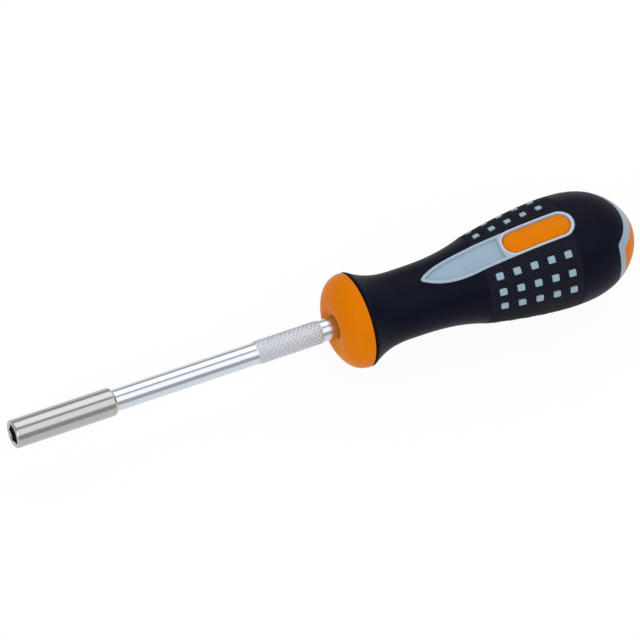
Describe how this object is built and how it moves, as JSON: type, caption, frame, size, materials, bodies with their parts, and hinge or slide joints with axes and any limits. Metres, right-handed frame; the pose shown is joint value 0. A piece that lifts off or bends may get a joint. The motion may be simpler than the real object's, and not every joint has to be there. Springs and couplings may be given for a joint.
{
  "type": "bit holder screwdriver",
  "caption": "Hand screwdriver with a magnetic hexagon bit socket, a knurled round blade and a contoured two-sided soft grip with studs and label panels.",
  "frame": {"origin": "middle of the magnet's face at the bottom of the bit socket, where a bit's end comes to rest", "axes": "+X along the blade from the socket's mouth to the butt, +Z out of the upper label, +Y across"},
  "size_m": [0.233, 0.039, 0.0394],
  "materials": {
    "chromed_blade": "satin",
    "stainless_sleeve": "brushed",
    "magnet": "satin",
    "spring_wire": "satin",
    "orange_plastic": "satin",
    "pale_plastic": "satin",
    "black_soft_skin": "satin"
  },
  "bodies": {
    "root": {"blade_shaft": "chromed_blade", "socket_sleeve": "stainless_sleeve", "socket_magnet": "magnet", "bit_retaining_ring": "spring_wire", "front_bolster": "orange_plastic", "handle_core": "pale_plastic", "soft_grip": "black_soft_skin", "butt_ring": "pale_plastic", "end_cap": "orange_plastic", "label_panel_upper": "pale_plastic", "label_panel_lower": "pale_plastic", "window_inlay_upper": "orange_plastic", "window_inlay_lower": "orange_plastic", "stud_insert_upper_a": "pale_plastic", "stud_insert_upper_b": "pale_plastic", "stud_insert_lower_a": "pale_plastic", "stud_insert_lower_b": "pale_plastic"}
  },
  "joints": []
}
